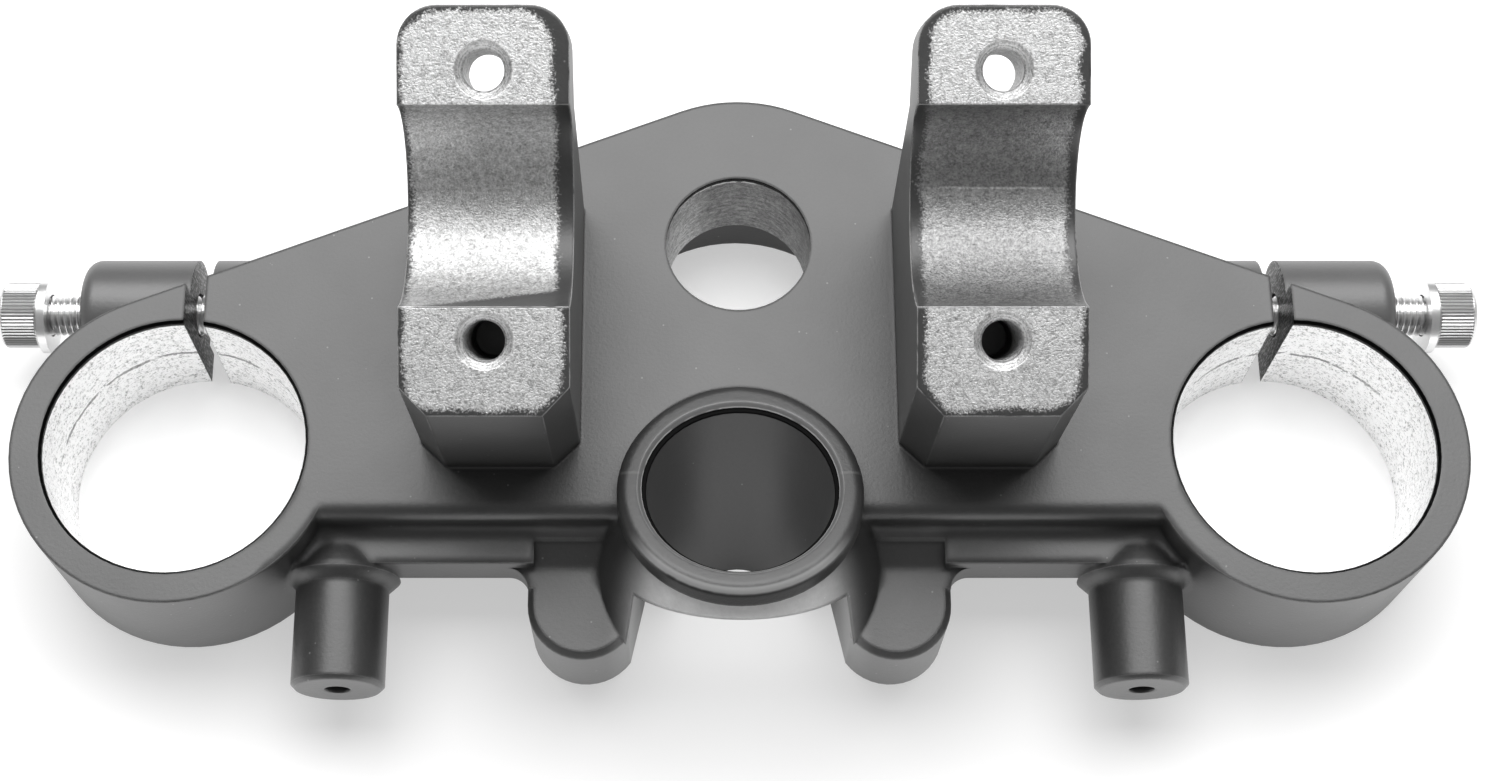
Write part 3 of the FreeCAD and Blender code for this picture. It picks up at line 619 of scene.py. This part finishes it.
def shank_rings(mesh, sign):
    """Rolled thread over the whole shank, with a chamfered end."""
    rows = int(SCREW_LENGTH / THREAD_PITCH * ROWS_PER_TURN)
    rings = []
    for row in range(rows + 1):
        out = -SCREW_LENGTH * row / rows

        def radius_at(angle, out=out):
            phase = (out / THREAD_PITCH + angle / (2 * math.pi)) % 1
            crest = min(1.0, 2.6 * min(phase, 1 - phase))
            chamfer = min(1.0, (SCREW_LENGTH + out) / 0.8)
            return SCREW_RADIUS - THREAD_DEPTH * (1 - crest * chamfer)

        rings.append(ring_of(mesh, out, radius_at, SHANK_POINTS, sign))
    rings.append(ring_of(mesh, -SCREW_LENGTH, lambda angle: AXIS_RADIUS, SHANK_POINTS, sign))
    return rings


def add_screw(side, material):
    """Socket head cap screw with knurls and thread, in the place of the plain one."""
    sign = 1 if side == "right" else -1
    mesh = bmesh.new()
    join_rings(mesh, head_rings(mesh, sign))
    join_rings(mesh, shank_rings(mesh, sign))
    bmesh.ops.recalc_face_normals(mesh, faces=mesh.faces)
    data = bpy.data.meshes.new("screw_" + side)
    mesh.to_mesh(data)
    mesh.free()
    data.materials.append(material)
    screw = bpy.data.objects.new("screw_" + side, data)
    bpy.context.collection.objects.link(screw)
    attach(screw, "root")
    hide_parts("pinch_screw_" + side)


def add_lamp():
    """Broad soft light from above and behind, out of the camera's sight."""
    data = bpy.data.lights.new("overhead", "AREA")
    data.shape = "RECTANGLE"
    data.size = LAMP_WIDTH
    data.size_y = LAMP_DEPTH
    data.energy = LAMP_WATTS
    lamp = bpy.data.objects.new("overhead", data)
    lamp.location = LAMP_PLACE
    aim = Vector(LAMP_TARGET) - Vector(LAMP_PLACE)
    lamp.rotation_euler = aim.to_track_quat("-Z", "Y").to_euler()
    lamp.visible_camera = False
    bpy.context.collection.objects.link(lamp)


def add_world():
    """Pale surroundings that light the part, seen as plain white behind it."""
    world = bpy.data.worlds.new("studio")
    world.use_nodes = True
    background = world.node_tree.nodes["Background"]
    background.inputs["Color"].default_value = (1, 1, 1, 1)
    rays = world.node_tree.nodes.new("ShaderNodeLightPath")
    strength = world.node_tree.nodes.new("ShaderNodeMapRange")
    strength.inputs["To Min"].default_value = WORLD_STRENGTH
    strength.inputs["To Max"].default_value = 1
    world.node_tree.links.new(rays.outputs["Is Camera Ray"], strength.inputs["Value"])
    world.node_tree.links.new(strength.outputs["Result"], background.inputs["Strength"])
    bpy.context.scene.world = world


def add_camera():
    """Camera at the photograph's viewing angle; the image is taken to be 1500 by 781."""
    data = bpy.data.cameras.new("camera")
    data.sensor_width = CAMERA_SENSOR
    data.lens = CAMERA_LENS
    data.shift_x, data.shift_y = CAMERA_SHIFT
    camera = bpy.data.objects.new("camera", data)
    camera.location = CAMERA_PLACE
    camera.rotation_euler = (math.radians(90) - CAMERA_PITCH, 0, 0)
    bpy.context.collection.objects.link(camera)
    bpy.context.scene.camera = camera


def dress(node, material):
    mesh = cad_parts[node].data
    mesh.materials.clear()
    mesh.materials.append(material)


dress("yoke", casting_material())
plated = plated_material()
for side in ("left", "right"):
    add_screw(side, plated)
    dress("pinch_washer_" + side, plated)
add_floor()
add_lamp()
add_world()
add_camera()
bpy.context.scene.view_settings.view_transform = "Standard"
